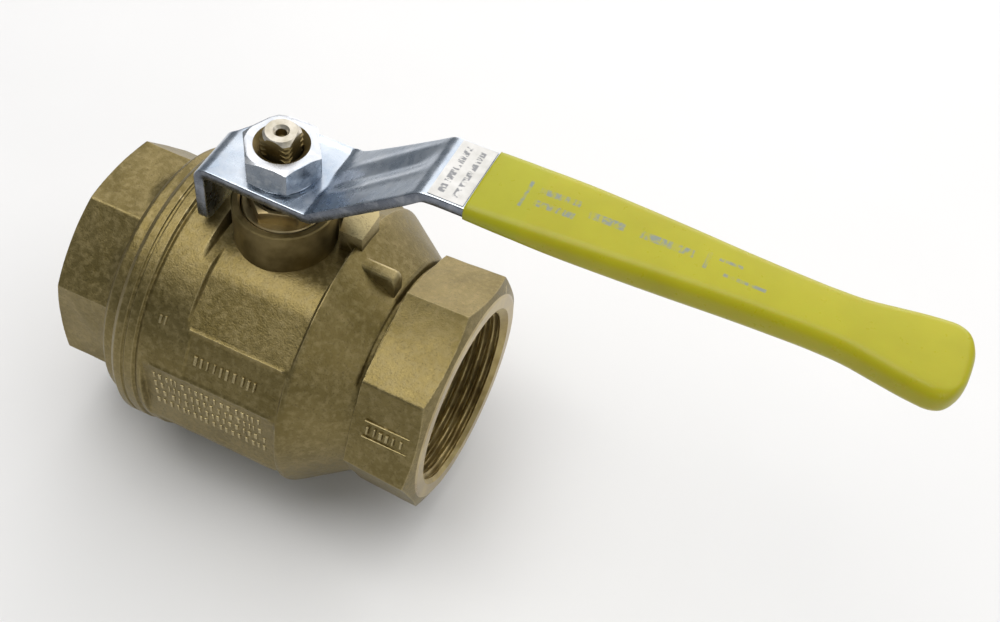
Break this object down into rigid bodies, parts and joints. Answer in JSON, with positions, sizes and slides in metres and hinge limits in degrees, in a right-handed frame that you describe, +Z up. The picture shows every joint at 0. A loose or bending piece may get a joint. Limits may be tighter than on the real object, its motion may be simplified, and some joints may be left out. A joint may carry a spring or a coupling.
{
  "type": "ball valve",
  "caption": "Two-piece full-bore brass ball valve with octagonal threaded ends, a packed stem and a cranked steel lever in a soft sleeve, standing open.",
  "frame": {"origin": "centre of the ball, where the flow axis and the stem's axis cross", "axes": "+X along the flow axis towards the body's own threaded end, which is the end under the lever when the valve is open; +Z up the stem; +Y completes the right-handed frame"},
  "size_m": [0.2058, 0.0766, 0.1224],
  "materials": {
    "forged_brass": "bead-blasted forging",
    "machined_brass": "turned",
    "chromed_ball": "polished",
    "zinc_plated_steel": "bright zinc plate",
    "yellow_sleeve": "soft dipped vinyl",
    "fluoropolymer": "waxy",
    "black_rubber": "satin",
    "pale_label": "printed film"
  },
  "bodies": {
    "housing": {"body": "forged_brass", "end_connector": "forged_brass", "end_connector_o_ring": "black_rubber", "seat_ring_body_side": "fluoropolymer", "seat_ring_connector_side": "fluoropolymer", "stem_o_ring": "black_rubber", "stem_thrust_washer": "fluoropolymer", "packing_ring_lower": "fluoropolymer", "packing_ring_middle": "fluoropolymer", "packing_ring_upper": "fluoropolymer", "gland_nut": "machined_brass"},
    "handle": {"stem": "machined_brass", "lever": "zinc_plated_steel", "lever_grip": "yellow_sleeve", "lever_washer": "zinc_plated_steel", "lever_nut": "zinc_plated_steel", "lever_label": "pale_label"},
    "ball": {"ball": "chromed_ball"}
  },
  "joints": [
    {"name": "lever_turn", "type": "hinge", "parent": "housing", "child": "handle", "pos_m": [0, 0, 0], "axis": [0, 0, 1], "range_deg": [-90, 0]},
    {"name": "ball_turn", "type": "hinge", "parent": "housing", "child": "ball", "pos_m": [0, 0, 0], "axis": [0, 0, 1], "range_deg": [-90, 0]}
  ],
  "couplings": [
    {"joint": "ball_turn", "follows": "lever_turn", "ratio": 1}
  ]
}
